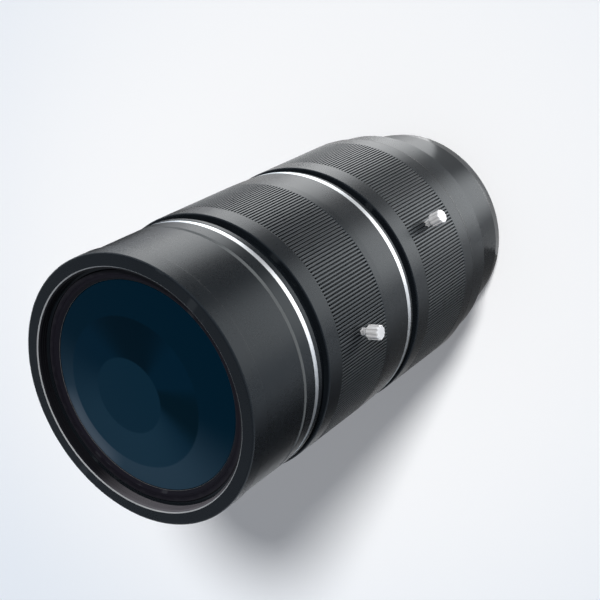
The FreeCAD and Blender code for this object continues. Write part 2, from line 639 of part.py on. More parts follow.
def iris_blade(number):
    """One blade: a curved leaf, its pivot stud up front and its drive stud behind."""
    floor = Z_IRIS_SEAT - IRIS_FLOOR
    top = floor - BLADE_GAP - number * BLADE_PITCH
    low = top - BLADE_THICK
    middle_r = BLADE_IN_R + BLADE_WIDTH / 2
    leaf = sector(BLADE_IN_R, BLADE_OUT_R, low, top, 0, BLADE_SPAN)
    tip = Part.makeCylinder(BLADE_WIDTH / 2, BLADE_THICK, V(middle_r, 0, low))
    leaf = leaf.fuse(turned(tip, BLADE_SPAN))
    pivot = V(PIVOT_R, 0, 0)
    root = V(middle_r, ROOT_LOBE_R, 0)
    leaf = leaf.fuse(bar(pivot, root, ROOT_LOBE_R, low, BLADE_THICK))
    leaf = leaf.fuse(bar(pivot, drive_stud(0), STUD_LOBE_R, low, BLADE_THICK))
    pivot_len = floor + STUD_IN_FLOOR - low
    leaf = leaf.fuse(Part.makeCylinder(STUD_R, pivot_len, pivot + V(0, 0, low)))
    drive_low = Z_CAM_TOP - STUD_IN_CAM
    drive = Part.makeCylinder(STUD_R, top - drive_low, drive_stud(0) + V(0, 0, drive_low))
    leaf = leaf.fuse(drive).removeSplitter()
    return turned(leaf, number * 360 / BLADES)


def cam_slot(low, high):
    """Curved slot that a drive stud follows as the cam ring turns."""
    track = []
    for turn in (0, IRIS_TURN / 2, IRIS_TURN):
        stud = drive_stud(BLADE_SWING * turn / IRIS_TURN)
        track.append(FreeCAD.Rotation(AXIS, -turn).multVec(stud))
    circle = Part.Circle(track[0], track[1], track[2])
    half = STUD_R + RUN
    sides = []
    for radius in (circle.Radius - half, circle.Radius + half):
        sides.append([circle.Center + (p - circle.Center).normalize() * radius for p in track])
    inner, outer = sides
    beyond = (track[2] - track[0]).normalize() * half
    start_cap = Part.Arc(outer[0], track[0] - beyond, inner[0])
    end_cap = Part.Arc(inner[2], track[2] + beyond, outer[2])
    arcs = [Part.Arc(*inner), end_cap, Part.Arc(*outer), start_cap]
    outline = Part.Wire(Part.__sortEdges__([arc.toShape() for arc in arcs]))
    face = Part.Face(outline)
    face.translate(V(0, 0, low))
    return face.extrude(V(0, 0, high - low))


def iris_cam_ring():
    low = Z_CAM_TOP - CAM_THICK
    body = tube(CAM_BORE_R, IRIS_WALL_BORE_R - RUN, low, Z_CAM_TOP)
    for blade in range(BLADES):
        slot = cam_slot(low - OVERCUT, Z_CAM_TOP + OVERCUT)
        body = body.cut(turned(slot, blade * 360 / BLADES))
    turn = math.degrees(TONGUE_WIDTH / TONGUE_R)
    tongue = sector(TONGUE_BORE_R, TONGUE_R, Z_TONGUE, Z_CAM_TOP - RUN, DRIVE_AZIMUTH - turn / 2, turn)
    body = body.fuse(tongue).removeSplitter()
    width = 2 * (DRIVE_PIN_R + RUN)
    corner = V(TONGUE_BORE_R - OVERCUT, -width / 2, Z_WINDOW_LOW)
    size = TONGUE_R - TONGUE_BORE_R + 2 * OVERCUT
    slot = Part.makeBox(size, width, Z_WINDOW_TOP - Z_WINDOW_LOW, corner)
    return body.cut(turned(slot, DRIVE_AZIMUTH))


def iris_cover():
    low = Z_COVER_TOP - COVER_THICK
    body = tube(CAM_BORE_R, IRIS_WALL_BORE_R - RUN, low, Z_COVER_TOP)
    half = math.degrees((TONGUE_WIDTH / 2 + SLOT_SPARE) / TONGUE_BORE_R)
    notch = sector(TONGUE_BORE_R - SLOT_SPARE, IRIS_WALL_BORE_R + OVERCUT, low - OVERCUT,
                   Z_COVER_TOP + OVERCUT, DRIVE_AZIMUTH - half, IRIS_TURN + 2 * half)
    return body.cut(notch)


# Rear cell and the glass behind the iris

def rear_cell():
    flange_r = IRIS_BORE_R - RUN
    flange_top = Z_CELL_END + REAR_FLANGE_LEN
    return revolve([
        (GLASS7_R + RUN, Z_REAR_CELL), (REAR_CELL_R - EDGE, Z_REAR_CELL),
        (REAR_CELL_R, Z_REAR_CELL + EDGE), (REAR_CELL_R, Z_CELL_END), (flange_r, Z_CELL_END),
        (flange_r, flange_top), (REAR_CELL_FRONT_R, flange_top),
        (REAR_CELL_FRONT_R, Z_REAR_CELL_TOP), (GLASS5_R + RUN, Z_REAR_CELL_TOP),
        (GLASS5_R + RUN, Z_SEAT6), (GLASS5_R - SEAT_WIDTH, Z_SEAT6),
        (GLASS7_R - GLASS7_SEAT, Z_SEAT7), (GLASS7_R + RUN, Z_SEAT7)])


def fourth_retaining_ring():
    return tube(GLASS5_R - SEAT_WIDTH, GLASS5_R, Z_LAND5, Z_REAR_CELL_TOP)


def glass_fifth():
    return lens(GLASS5_R, (Z_LAND5, GLASS5_R - SEAT_WIDTH, GLASS5_FRONT_RADIUS, -1),
                (Z_LAND6, GLASS5_R, PAIR_B_RADIUS, 1))


def glass_sixth():
    return lens(GLASS5_R, (Z_LAND6, GLASS5_R, PAIR_B_RADIUS, 1),
                (Z_SEAT6, GLASS5_R - SEAT_WIDTH, GLASS6_REAR_RADIUS, -1))


def glass_rear():
    clear = GLASS7_R - GLASS7_SEAT
    return lens(GLASS7_R, (Z_SEAT7, clear, GLASS7_FRONT_RADIUS, 1),
                (Z_LAND7, clear, GLASS7_REAR_RADIUS, -1))


def rear_retaining_ring():
    return tube(GLASS7_R - GLASS7_SEAT, GLASS7_R, Z_REAR_CELL, Z_LAND7)


def all_parts():
    parts = {
        "rear_mount": rear_mount(),
        "mount_grub_screws": mount_grub_screws(),
        "main_barrel": main_barrel(),
        "guide_keys": guide_keys(),
        "key_screws": key_screws(),
        "focus_retainer": focus_retainer(),
        "focus_ring": focus_ring(),
        "focus_bright_ring": bright_ring(Z_FOCUS_RING, RING_R - REAR_TAPER),
        "iris_ring": iris_ring(),
        "iris_drive_pin": iris_drive_pin(),
        "focus_lock_shoe": lock_shoe(FOCUS_LOCK_AZIMUTH, Z_FOCUS_LOCK),
        "focus_lock_screw": lock_screw(FOCUS_LOCK_AZIMUTH, Z_FOCUS_LOCK),
        "iris_lock_shoe": lock_shoe(IRIS_LOCK_AZIMUTH, Z_IRIS_LOCK),
        "iris_lock_screw": lock_screw(IRIS_LOCK_AZIMUTH, Z_IRIS_LOCK),
        "nose_shell": nose_shell(),
        "nose_bright_ring": bright_ring(Z_FRONT - NOSE_EDGE - BRIGHT_WIDTH, NOSE_R),
        "nose_trim_collar": nose_trim_collar(),
        "lens_barrel": lens_barrel(),
        "front_retaining_ring": front_retaining_ring(),
        "glass_front": glass_front(),
        "second_retaining_ring": second_retaining_ring(),
        "glass_second": glass_second(),
        "third_retaining_ring": third_retaining_ring(),
        "glass_third": glass_third(),
        "glass_fourth": glass_fourth(),
        "iris_housing": iris_housing(),
        "iris_cam_ring": iris_cam_ring(),
        "iris_cover": iris_cover(),
        "rear_cell": rear_cell(),
        "fourth_retaining_ring": fourth_retaining_ring(),
        "glass_fifth": glass_fifth(),
        "glass_sixth": glass_sixth(),
        "glass_rear": glass_rear(),
        "rear_retaining_ring": rear_retaining_ring(),
    }
    for number in range(BLADES):
        parts["iris_blade_%d" % (number + 1)] = iris_blade(number)
    return parts


os.makedirs("parts", exist_ok=True)
for name, shape in all_parts().items():
    shape.exportStep("parts/%s.step" % name)
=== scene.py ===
import math

import bmesh
import bpy
from mathutils import Matrix, Vector


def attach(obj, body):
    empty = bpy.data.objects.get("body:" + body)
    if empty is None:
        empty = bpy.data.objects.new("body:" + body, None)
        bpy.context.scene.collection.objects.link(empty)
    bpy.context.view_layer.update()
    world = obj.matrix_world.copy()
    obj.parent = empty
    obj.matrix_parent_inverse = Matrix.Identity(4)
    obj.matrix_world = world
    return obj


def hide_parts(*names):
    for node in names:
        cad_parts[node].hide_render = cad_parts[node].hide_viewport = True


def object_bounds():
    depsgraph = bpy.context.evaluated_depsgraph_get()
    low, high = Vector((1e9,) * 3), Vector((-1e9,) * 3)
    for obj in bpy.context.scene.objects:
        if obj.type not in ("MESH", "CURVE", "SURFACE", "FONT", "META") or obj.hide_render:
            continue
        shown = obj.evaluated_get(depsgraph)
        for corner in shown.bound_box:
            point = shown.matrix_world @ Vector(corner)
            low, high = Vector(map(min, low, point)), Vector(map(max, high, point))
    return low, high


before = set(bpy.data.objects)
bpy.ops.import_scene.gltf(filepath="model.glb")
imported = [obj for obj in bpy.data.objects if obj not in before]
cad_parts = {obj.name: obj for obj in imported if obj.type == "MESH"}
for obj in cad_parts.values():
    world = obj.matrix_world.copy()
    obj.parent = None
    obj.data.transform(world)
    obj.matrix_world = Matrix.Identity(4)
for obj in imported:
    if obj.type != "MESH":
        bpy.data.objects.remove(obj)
cad_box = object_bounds()


# Rear adapter. A cup turned from aluminium and anodised satin black. It slides over
# the barrel's neck, is held by two grub screws, and ends in the male camera thread.

MM = 0.001
AROUND = 240            # faces round a turned piece, one for each rib of the knurl
THREAD_R = 29.0
THREAD_LEN = 4.0
THREAD_PITCH = 0.75
THREAD_CORE = 0.45      # how far the core lies under the crests
THREAD_LEAD = 0.4       # bevel at the thread's open end
THREAD_RELIEF = 0.5     # turned groove between the thread and the flange
RELIEF_DEPTH = 0.3
ADAPTER_BORE = 26.0
ADAPTER_END_R = 32.1
ADAPTER_R = 32.9
ADAPTER_TAPER = 4.1
ADAPTER_LEN = 19.5
ADAPTER_FLOOR = 6.0
NECK_R = 30.05
SMOOTH_ANGLE = math.radians(34)
EDGE_SHARE = 0.3        # most of an edge that the rounding of one corner may take
HOLD = 1.5              # the point that holds the flat, in lengths of the rounding


def soften(profile, radius):
    """Round each corner of a closed profile, with a point beside it to hold the flat."""
    points = []
    for number, corner in enumerate(profile):
        here = Vector(corner)
        back = Vector(profile[number - 1]) - here
        ahead = Vector(profile[(number + 1) % len(profile)]) - here
        cut_back = min(radius, EDGE_SHARE * back.length)
        cut_ahead = min(radius, EDGE_SHARE * ahead.length)
        start = here + back.normalized() * cut_back
        end = here + ahead.normalized() * cut_ahead
        middle = (start + end) / 4 + here / 2
        points.append(here + back.normalized() * cut_back * HOLD)
        points += [start, middle, end]
        points.append(here + ahead.normalized() * cut_ahead * HOLD)
    return points


def close_up(mesh):
    """Merge the seam and the poles, point the faces outwards and shade them smooth."""
    work = bmesh.new()
    work.from_mesh(mesh)
    bmesh.ops.remove_doubles(work, verts=work.verts, dist=0.001 * MM)
    bmesh.ops.recalc_face_normals(work, faces=work.faces)
    work.to_mesh(mesh)
    work.free()
    mesh.shade_smooth()
    mesh.set_sharp_from_angle(angle=SMOOTH_ANGLE)


def place(name, mesh):
    """A new object in the scene with that mesh."""
    piece = bpy.data.objects.new(name, mesh)
    bpy.context.scene.collection.objects.link(piece)
    return piece


def turn_profile(name, profile, edge=0.12):
    """Turn a closed profile of radii and heights in mm round the optical axis."""
    points = soften(profile, edge) if edge else [Vector(p) for p in profile]
    verts = []
    faces = []
    for step in range(AROUND):
        angle = 2 * math.pi * step / AROUND
        verts += [(p.x * math.cos(angle) * MM, p.x * math.sin(angle) * MM, p.y * MM) for p in points]
        here = step * len(points)
        there = (step + 1) % AROUND * len(points)
        for low in range(len(points)):
            high = (low + 1) % len(points)
            faces.append((here + low, here + high, there + high, there + low))
    mesh = bpy.data.meshes.new(name)
    mesh.from_pydata(verts, [], faces)
    close_up(mesh)
    return place(name, mesh)


class Wire:
    """A node's socket that takes Python's signs, so a sum of sockets reads as a sum."""

    def __init__(self, net, socket):
        self.net = net
        self.socket = socket

    def other(self, output):
        return Wire(self.net, self.socket.node.outputs[output])

    def __add__(self, term):
        return self.net.math("ADD", self, term)

    def __radd__(self, term):
        return self.net.math("ADD", term, self)

    def __sub__(self, term):
        return self.net.math("SUBTRACT", self, term)

    def __rsub__(self, term):
        return self.net.math("SUBTRACT", term, self)

    def __mul__(self, term):
        return self.net.math("MULTIPLY", self, term)

    def __rmul__(self, term):
        return self.net.math("MULTIPLY", term, self)

    def __truediv__(self, term):
        return self.net.math("DIVIDE", self, term)

    def __rtruediv__(self, term):
        return self.net.math("DIVIDE", term, self)

    def __pow__(self, term):
        return self.net.math("POWER", self, term)


class Net:
    """A node tree that is filled one node at a time."""

    def __init__(self, tree):
        self.tree = tree

    def node(self, kind, settings=None, inputs=None, output=0):
        made = self.tree.nodes.new(kind)
        for name, value in (settings or {}).items():
            setattr(made, name, value)
        for key, value in (inputs or {}).items():
            for part in value if isinstance(value, list) else [value]:
                if isinstance(part, Wire):
                    self.tree.links.new(part.socket, made.inputs[key])
                else:
                    made.inputs[key].default_value = part
        return Wire(self, made.outputs[output]) if made.outputs else None

    def math(self, operation, *terms):
        return self.node("ShaderNodeMath", {"operation": operation}, dict(enumerate(terms)))

    def mix(self, share, first, second):
        """Colours mixed by a share: the first at 0 and the second at 1."""
        first = first if isinstance(first, Wire) else (*first, 1)
        second = second if isinstance(second, Wire) else (*second, 1)
        return self.node("ShaderNodeMix", {"data_type": "RGBA"}, {0: share, 6: first, 7: second}, 2)

    def step(self, value, low, high):
        """0 below the low value and 1 above the high one, with a soft rise between."""
        return self.node("ShaderNodeMapRange", {"interpolation_type": "SMOOTHSTEP"},
                         {"Value": value, "From Min": low, "From Max": high})

    def noise(self, where, scale, detail=3.0):
        return self.node("ShaderNodeTexNoise", None, {"Vector": where, "Scale": scale, "Detail": detail})


def start_material(name):
    """A new material, its net, and the place on the piece with its three parts."""
    material = bpy.data.materials.new(name)
    material.use_nodes = True
    material.node_tree.nodes.clear()
    net = Net(material.node_tree)
    where = net.node("ShaderNodeTexCoord", output="Object")
    parts = net.node("ShaderNodeSeparateXYZ", None, {0: where})
    return material, net, where, parts, parts.other("Y"), parts.other("Z")


def end_material(net, sockets, height=None, depth=0.0):
    """The shader with its sockets, and a bump of that depth in metres if it has one."""
    if height is not None:
        sockets["Normal"] = net.node("ShaderNodeBump", None, {
            "Strength": 1.0, "Distance": depth, "Height": height})
    shader = net.node("ShaderNodeBsdfPrincipled", None, sockets)
    net.node("ShaderNodeOutputMaterial", None, {"Surface": shader})


CLOUD_SCALE = 55.0
GRAIN_SCALE = 2600.0
WORN_FROM = 0.53        # how sharp an edge is where its wear starts, and where it is full
WORN_FULL = 0.62


def turned_finish(name, colour, worn, metallic, roughness, specular, line_pitch, line_depth):
    """Metal from a lathe: rings of fine tool lines, cloudy tone, and lighter worn edges."""
    material, net, where, x, y, z = start_material(name)
    radius = (x * x + y * y) ** 0.5
    cloud = net.noise(where, CLOUD_SCALE)
    grain = net.noise(where, GRAIN_SCALE, 2.0)
    lines = net.math("SINE", (radius + z) * (2 * math.pi / (line_pitch * MM)))
    edge = net.step(net.node("ShaderNodeNewGeometry", output="Pointiness"), WORN_FROM, WORN_FULL)
    tone = net.mix(cloud, [c * 0.8 for c in colour], [min(1.0, c * 1.25) for c in colour])
    end_material(net, {
        "Base Color": net.mix(edge * 0.6, tone, worn),
        "Metallic": metallic,
        "Specular IOR Level": specular,
        "Specular Tint": (0.82, 0.93, 1.0, 1.0),
        "Roughness": roughness * 0.85 + cloud * (roughness * 0.25) + grain * 0.05,
    }, lines * 0.5 + grain * 0.6, line_depth * MM)
    return material


BLACK = (0.0048, 0.0062, 0.0080)
WORN_BLACK = (0.020, 0.023, 0.026)
anodised = turned_finish("black anodised aluminium", BLACK, WORN_BLACK, 0.0, 0.26, 0.32, 0.35, 0.0012)


def fit(piece, body, material, slot, *nodes):
    """Give a made piece its finish, its body and the CAD nodes that it stands for."""
    piece.data.materials.clear()
    piece.data.materials.append(material)
    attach(piece, body)
    if nodes:
        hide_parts(*nodes)


def coat_node(material, *names):
    """Give CAD nodes that keep their own shape a finish."""
    for name in names:
        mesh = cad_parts[name].data
        mesh.materials.clear()
        mesh.materials.append(material)


adapter = turn_profile("rear_adapter", [
    (ADAPTER_BORE, -THREAD_LEN), (THREAD_R - THREAD_LEAD - THREAD_CORE, -THREAD_LEN),
    (THREAD_R - THREAD_CORE, -THREAD_LEN + THREAD_LEAD), (THREAD_R - THREAD_CORE, -THREAD_RELIEF),
    (THREAD_R - THREAD_CORE - RELIEF_DEPTH, 0), (ADAPTER_END_R, 0), (ADAPTER_R, ADAPTER_TAPER),
    (ADAPTER_R, ADAPTER_LEN), (NECK_R, ADAPTER_LEN), (NECK_R, ADAPTER_FLOOR),
    (ADAPTER_BORE, ADAPTER_FLOOR)])
fit(adapter, "barrel", anodised, "black_anodised", "rear_mount")


# Threads. Real ones are cut in one spiral. Here each is a rounded ridge that follows
# a helix, made by one geometry tree: on the adapter, in the mouth and on the screws.

def start_shape(name):
    """A new geometry tree with its net and its group nodes."""
    tree = bpy.data.node_groups.new(name, "GeometryNodeTree")
    return Net(tree)


def shape_input(net, name, kind):
    """A named input of a geometry tree, as a wire."""
    net.tree.interface.new_socket(name=name, in_out="INPUT", socket_type=kind)
    return net.node("NodeGroupInput", output=name)


def end_shape(net, geometry, material):
    """Realize what the tree made, give it its material and send it out."""
    net.tree.interface.new_socket(name="Geometry", in_out="OUTPUT", socket_type="NodeSocketGeometry")
    solid = net.node("GeometryNodeRealizeInstances", None, {"Geometry": geometry})
    finished = net.node("GeometryNodeSetMaterial", None, {"Geometry": solid, "Material": material})
    net.node("NodeGroupOutput", None, {"Geometry": finished})


def grow(piece, net, values):
    """Run a geometry tree on a piece, keep the result as its plain mesh, drop the tree."""
    modifier = piece.modifiers.new(net.tree.name, "NODES")
    modifier.node_group = net.tree
    for item in net.tree.interface.items_tree:
        if item.in_out == "INPUT" and item.name in values:
            modifier[item.identifier] = values[item.name]
    graph = bpy.context.evaluated_depsgraph_get()
    mesh = bpy.data.meshes.new_from_object(piece.evaluated_get(graph))
    piece.modifiers.remove(modifier)
    piece.data = mesh
    mesh.shade_smooth()
    mesh.set_sharp_from_angle(angle=SMOOTH_ANGLE)


thread_shape = start_shape("thread")
thread_radius = shape_input(thread_shape, "Radius", "NodeSocketFloat")
thread_pitch = shape_input(thread_shape, "Pitch", "NodeSocketFloat")
thread_turns = shape_input(thread_shape, "Turns", "NodeSocketFloat")
thread_ridge = shape_input(thread_shape, "Ridge", "NodeSocketFloat")
thread_steps = shape_input(thread_shape, "Steps per turn", "NodeSocketInt")
thread_material = shape_input(thread_shape, "Material", "NodeSocketMaterial")
thread_path = thread_shape.node("GeometryNodeCurveSpiral", None, {
    "Resolution": thread_steps, "Rotations": thread_turns, "Start Radius": thread_radius,
    "End Radius": thread_radius, "Height": thread_pitch * thread_turns})
thread_section = thread_shape.node("GeometryNodeCurvePrimitiveCircle", None,
                                   {"Resolution": 6, "Radius": thread_ridge})
thread_body = thread_shape.node("GeometryNodeCurveToMesh", None, {
    "Curve": thread_path, "Profile Curve": thread_section, "Fill Caps": True})
end_shape(thread_shape, thread_body, thread_material)


def cut_thread(name, radius, pitch, turns, ridge, steps, material, where):
    """A thread's ridge round the Z axis, moved to its place."""
    piece = place(name, bpy.data.meshes.new(name))
    grow(piece, thread_shape, {
        "Radius": radius * MM, "Pitch": pitch * MM, "Turns": turns, "Ridge": ridge * MM,
        "Steps per turn": steps, "Material": material})
    piece.data.transform(where)
    return piece


RIDGE = 0.29
WIDE_STEPS = 160        # steps a turn of the two wide threads
adapter_thread = cut_thread("camera_thread", THREAD_R - RIDGE, THREAD_PITCH, 4.3, RIDGE, WIDE_STEPS, anodised,
                            Matrix.Translation((0, 0, (-THREAD_LEN + 0.35) * MM)))
fit(adapter_thread, "barrel", anodised, "black_anodised")


# Main barrel. The fixed tube, turned from aluminium and anodised black, with a collar
# behind each hand ring. The keys, their screws and the retaining ring are fixed to it.

FINE_CLOUD = 240.0
FINE_GRAIN = 3200.0
HOLLOW_FULL = 0.478     # how concave a place is where the painted shade is full, and where it ends
HOLLOW_END = 0.498


def plain_metal(name, colour, roughness, metallic=1.0, shade_share_in_recesses=0.0):
    """Small machined parts: a cloudy tone, a fine grain and a share of painted shade in hollows."""
    material, net, where, x, y, z = start_material(name)
    cloud = net.noise(where, FINE_CLOUD)
    grain = net.noise(where, FINE_GRAIN, 2.0)
    # Painted shade in hollows, found by pointiness.
    painted_recess_shade = 1 - net.step(net.node("ShaderNodeNewGeometry", output="Pointiness"), HOLLOW_FULL, HOLLOW_END)
    tone = net.mix(cloud, [c * 0.8 for c in colour], [min(1.0, c * 1.15) for c in colour])
    end_material(net, {
        "Base Color": net.mix(painted_recess_shade * shade_share_in_recesses, tone, [c * 0.1 for c in colour]),
        "Metallic": metallic,
        "Roughness": roughness * 0.8 + cloud * (roughness * 0.35),
    }, grain, 0.0015 * MM)
    return material


plain_steel = plain_metal("plain steel", (0.45, 0.45, 0.46), 0.35)
blued_steel = plain_metal("blued steel", (0.06, 0.06, 0.068), 0.38)
brass = plain_metal("turned brass", (0.72, 0.53, 0.24), 0.3)
coat_node(anodised, "main_barrel", "focus_retainer")
coat_node(plain_steel, "guide_keys", "key_screws", "iris_drive_pin")
coat_node(blued_steel, "mount_grub_screws")


# Hand rings. Each is turned from aluminium, knurled with 240 straight ribs and then
# anodised black. The rear one works the iris and the front one the focus.

RIBS = 240
RING_R = 37.95
KNURL_DEPTH = 0.42
KNURL_LEN = 23.2
KNURL_RUNOUT = 0.5      # slope at the rear end of the grooves
KNURL_STOP = 0.12       # the front end stops short
GROOVE_END = 1.15       # part of each groove at its front end with the darkest painted shade
RING_BORE = 34.65
IRIS_RING_LOW = 29.2
IRIS_RING_HIGH = 65.6
IRIS_LAND = 6.6
IRIS_BEVEL = 1.2
IRIS_BEVEL_DEPTH = 0.6
RIB_SINK = 0.15         # the rib's foot under the floor, in depths of the knurl
RIB_SHOULDER = 0.85     # where the rib's side turns into its rounded top
RIB_NARROW = 0.7        # width at the very top, in widths at the shoulder
RIB_FOOT = 0.43         # half widths of a rib, in pitches
RIB_CREST = 0.285
RUBBED = 0.09           # how far down the rubbed tops of the ribs reach


def bend(rise, foot, shoulder, top):
    """A curve through a rib's foot, its shoulder half way up the block, and its top."""
    return foot + rise * (shoulder * 4 - foot * 3 - top) + rise * rise * (foot * 2 + top * 2 - shoulder * 4)


rib_shape = start_shape("knurl")
rib_base = shape_input(rib_shape, "Geometry", "NodeSocketGeometry")
rib_count = shape_input(rib_shape, "Ribs", "NodeSocketInt")
rib_floor = shape_input(rib_shape, "Floor radius", "NodeSocketFloat")
rib_top = shape_input(rib_shape, "Top radius", "NodeSocketFloat")
rib_low = shape_input(rib_shape, "Low", "NodeSocketFloat")
rib_high = shape_input(rib_shape, "High", "NodeSocketFloat")
rib_foot = shape_input(rib_shape, "Half width at floor", "NodeSocketFloat")
rib_crest = shape_input(rib_shape, "Half width at top", "NodeSocketFloat")
rib_material = shape_input(rib_shape, "Material", "NodeSocketMaterial")
rib_block = rib_shape.node("GeometryNodeMeshCube", None, {
    "Size": (1, 1, 1), "Vertices X": 3, "Vertices Y": 2, "Vertices Z": 2})
rib_place = rib_shape.node("ShaderNodeSeparateXYZ", None, {0: rib_shape.node("GeometryNodeInputPosition")})
rise = rib_place + 0.5
depth = rib_top - rib_floor
rib_x = rib_floor + depth * bend(rise, -RIB_SINK, RIB_SHOULDER, 1)
half_width = bend(rise, rib_foot, rib_crest, rib_crest * RIB_NARROW)
rib_y = rib_place.other("Y") * 2 * half_width
rib_z = rib_low + (rib_place.other("Z") + 0.5) * (rib_high - rib_low)
rib_spot = rib_shape.node("ShaderNodeCombineXYZ", None, {"X": rib_x, "Y": rib_y, "Z": rib_z})
one_rib = rib_shape.node("GeometryNodeSetPosition", None, {"Geometry": rib_block, "Position": rib_spot})
rib_turn = rib_shape.node("GeometryNodeInputIndex") * 2 * math.pi / rib_count
rib_angle = rib_shape.node("ShaderNodeCombineXYZ", None, {"Z": rib_turn})
all_ribs = rib_shape.node("GeometryNodeInstanceOnPoints", None, {
    "Points": rib_shape.node("GeometryNodePoints", None, {"Count": rib_count}),
    "Instance": one_rib, "Rotation": rib_angle})
end_shape(rib_shape, rib_shape.node("GeometryNodeJoinGeometry", None, {"Geometry": [rib_base, all_ribs]}),
          rib_material)


def knurl(ring, high):
    """Stand the ribs in a ring's sunk band, whose front end is at that height."""
    pitch = 2 * math.pi * RING_R / RIBS
    grow(ring, rib_shape, {
        "Ribs": RIBS, "Floor radius": (RING_R - KNURL_DEPTH) * MM, "Top radius": RING_R * MM,
        "Low": (high - KNURL_LEN) * MM, "High": high * MM,
        "Half width at floor": RIB_FOOT * pitch * MM, "Half width at top": RIB_CREST * pitch * MM,
        "Material": anodised})


def knurl_band(high):
    """The corners of the sunk band in a ring's profile, from the rear end to the front."""
    floor = RING_R - KNURL_DEPTH
    return [(RING_R, high - KNURL_LEN), (floor, high - KNURL_LEN + KNURL_RUNOUT),
            (floor, high - GROOVE_END), (floor, high - KNURL_STOP), (RING_R, high)]


def bare_band(piece, material, inner, outer, low, high):
    """Give the faces between two radii and two heights a finish of their own."""
    piece.data.materials.append(material)
    for face in piece.data.polygons:
        reach = math.hypot(face.center.x, face.center.y) / MM
        if inner < reach < outer and low < face.center.z / MM < high:
            face.material_index = len(piece.data.materials) - 1


# Painted shade: a darker, duller black for the grooves' floors and sides, and for a corner where a highlight
# would show.
groove_painted_shade = turned_finish("painted shade in grooves and on a corner", (0.0020, 0.0026, 0.0034), (0.0030, 0.0035, 0.0040), 0.0,
                             0.5, 0.20, 0.35, 0.0010)
# Painted shade, near black, at the front ends of the grooves.
groove_end_painted_shade = turned_finish("painted shade at the groove ends", (0.0006, 0.0007, 0.0009), (0.0006, 0.0007, 0.0009), 0.0,
                            0.8, 0.0, 0.35, 0.0010)
rib_polish = turned_finish("ribs polished by fingers", BLACK, WORN_BLACK, 0.0, 0.27, 0.47, 0.35, 0.0010)


def paint_groove_shade(ring, high):
    """Painted shade, darker and duller, on the floors and sides of the grooves, darkest at their front ends;
    the ribs' tops, polished by fingers, are glossier.
    """
    rear = high - KNURL_LEN
    floor = RING_R - KNURL_DEPTH - 0.05
    bare_band(ring, groove_painted_shade, floor, RING_R - RUBBED, rear + 0.05, high - 0.01)
    bare_band(ring, groove_end_painted_shade, floor, RING_R - RUBBED, high - GROOVE_END, high - 0.01)
    bare_band(ring, rib_polish, RING_R - RUBBED, RING_R + 0.01, rear + KNURL_RUNOUT, high - KNURL_STOP)


iris_ring = turn_profile("iris_hand_ring", [
    (RING_BORE, IRIS_RING_LOW), (RING_R - IRIS_BEVEL_DEPTH, IRIS_RING_LOW),
    (RING_R, IRIS_RING_LOW + IRIS_BEVEL),
    *knurl_band(IRIS_RING_HIGH - IRIS_LAND),
    (RING_R, IRIS_RING_HIGH - 0.25), (RING_R - 0.25, IRIS_RING_HIGH), (RING_BORE, IRIS_RING_HIGH)])
knurl(iris_ring, IRIS_RING_HIGH - IRIS_LAND)
fit(iris_ring, "iris_ring", anodised, "black_anodised", "iris_ring")
paint_groove_shade(iris_ring, IRIS_RING_HIGH - IRIS_LAND)
PAINTED_SHADE_CORNER = 0.2       # the rounded corner over the rear bevel gets painted shade, darker and duller
bevel_top = IRIS_RING_LOW + IRIS_BEVEL
# Painted shade on the rounded corner over the rear bevel.
bare_band(iris_ring, groove_painted_shade, RING_R - PAINTED_SHADE_CORNER, RING_R + 0.01,
          bevel_top - PAINTED_SHADE_CORNER, bevel_top + PAINTED_SHADE_CORNER)

FOCUS_RING_LOW = 69.2
FOCUS_RING_HIGH = 113.0
FOCUS_LAND = 6.3
FOCUS_BORE = 36.15
FOCUS_WEB_TOP = 89.2
NECK_OUT_R = 36.1
TRIM_WIDTH = 1.6
REAR_STEP_R = 37.7
REAR_TAPER = 10.0

focus_ring = turn_profile("focus_hand_ring", [
    (RING_BORE, FOCUS_RING_LOW), (NECK_OUT_R, FOCUS_RING_LOW), (NECK_OUT_R, FOCUS_RING_LOW + TRIM_WIDTH),
    (REAR_STEP_R - 0.15, FOCUS_RING_LOW + TRIM_WIDTH), (REAR_STEP_R, FOCUS_RING_LOW + TRIM_WIDTH + 0.15),
    (RING_R, FOCUS_RING_LOW + TRIM_WIDTH + REAR_TAPER), *knurl_band(FOCUS_RING_HIGH - FOCUS_LAND),
    (RING_R, FOCUS_RING_HIGH - 0.25), (RING_R - 0.25, FOCUS_RING_HIGH), (FOCUS_BORE, FOCUS_RING_HIGH),
    (FOCUS_BORE, FOCUS_WEB_TOP), (RING_BORE, FOCUS_WEB_TOP)])
knurl(focus_ring, FOCUS_RING_HIGH - FOCUS_LAND)
fit(focus_ring, "focus_ring", anodised, "black_anodised", "focus_ring")
paint_groove_shade(focus_ring, FOCUS_RING_HIGH - FOCUS_LAND)


# Trim rings. Two narrow rings of bright turned aluminium, one behind the nose and one
# behind the focus ring, slid on a neck and lying just under the black surface.

TRIM_BORE = 36.15
TRIM_SINK = 0.1
NOSE_R = 37.3
NOSE_EDGE = 118.7

bright_metal = turned_finish("bright turned aluminium", (0.78, 0.79, 0.81), (0.85, 0.85, 0.85), 1.0, 0.36, 0.5,
                             0.22, 0.0012)


def trim_ring(name, low, beside):
    """A bright ring as wide as its neck, beside a black surface of that radius."""
    reach = beside - TRIM_SINK
    return turn_profile(name, [(TRIM_BORE, low), (reach, low), (reach, low + TRIM_WIDTH),
                               (TRIM_BORE, low + TRIM_WIDTH)], 0.06)


fit(trim_ring("focus_trim_ring", FOCUS_RING_LOW, REAR_STEP_R), "focus_ring", bright_metal, "bright_aluminium",
    "focus_bright_ring")
fit(trim_ring("nose_trim_ring", NOSE_EDGE - TRIM_WIDTH, NOSE_R), "optics", bright_metal, "bright_aluminium",
    "nose_bright_ring")


# Lock screws. Turned brass, nickel plated, with a head fluted for the fingertips. Each
# screws into a hand ring and presses a brass shoe on the barrel, so the ring stays put.

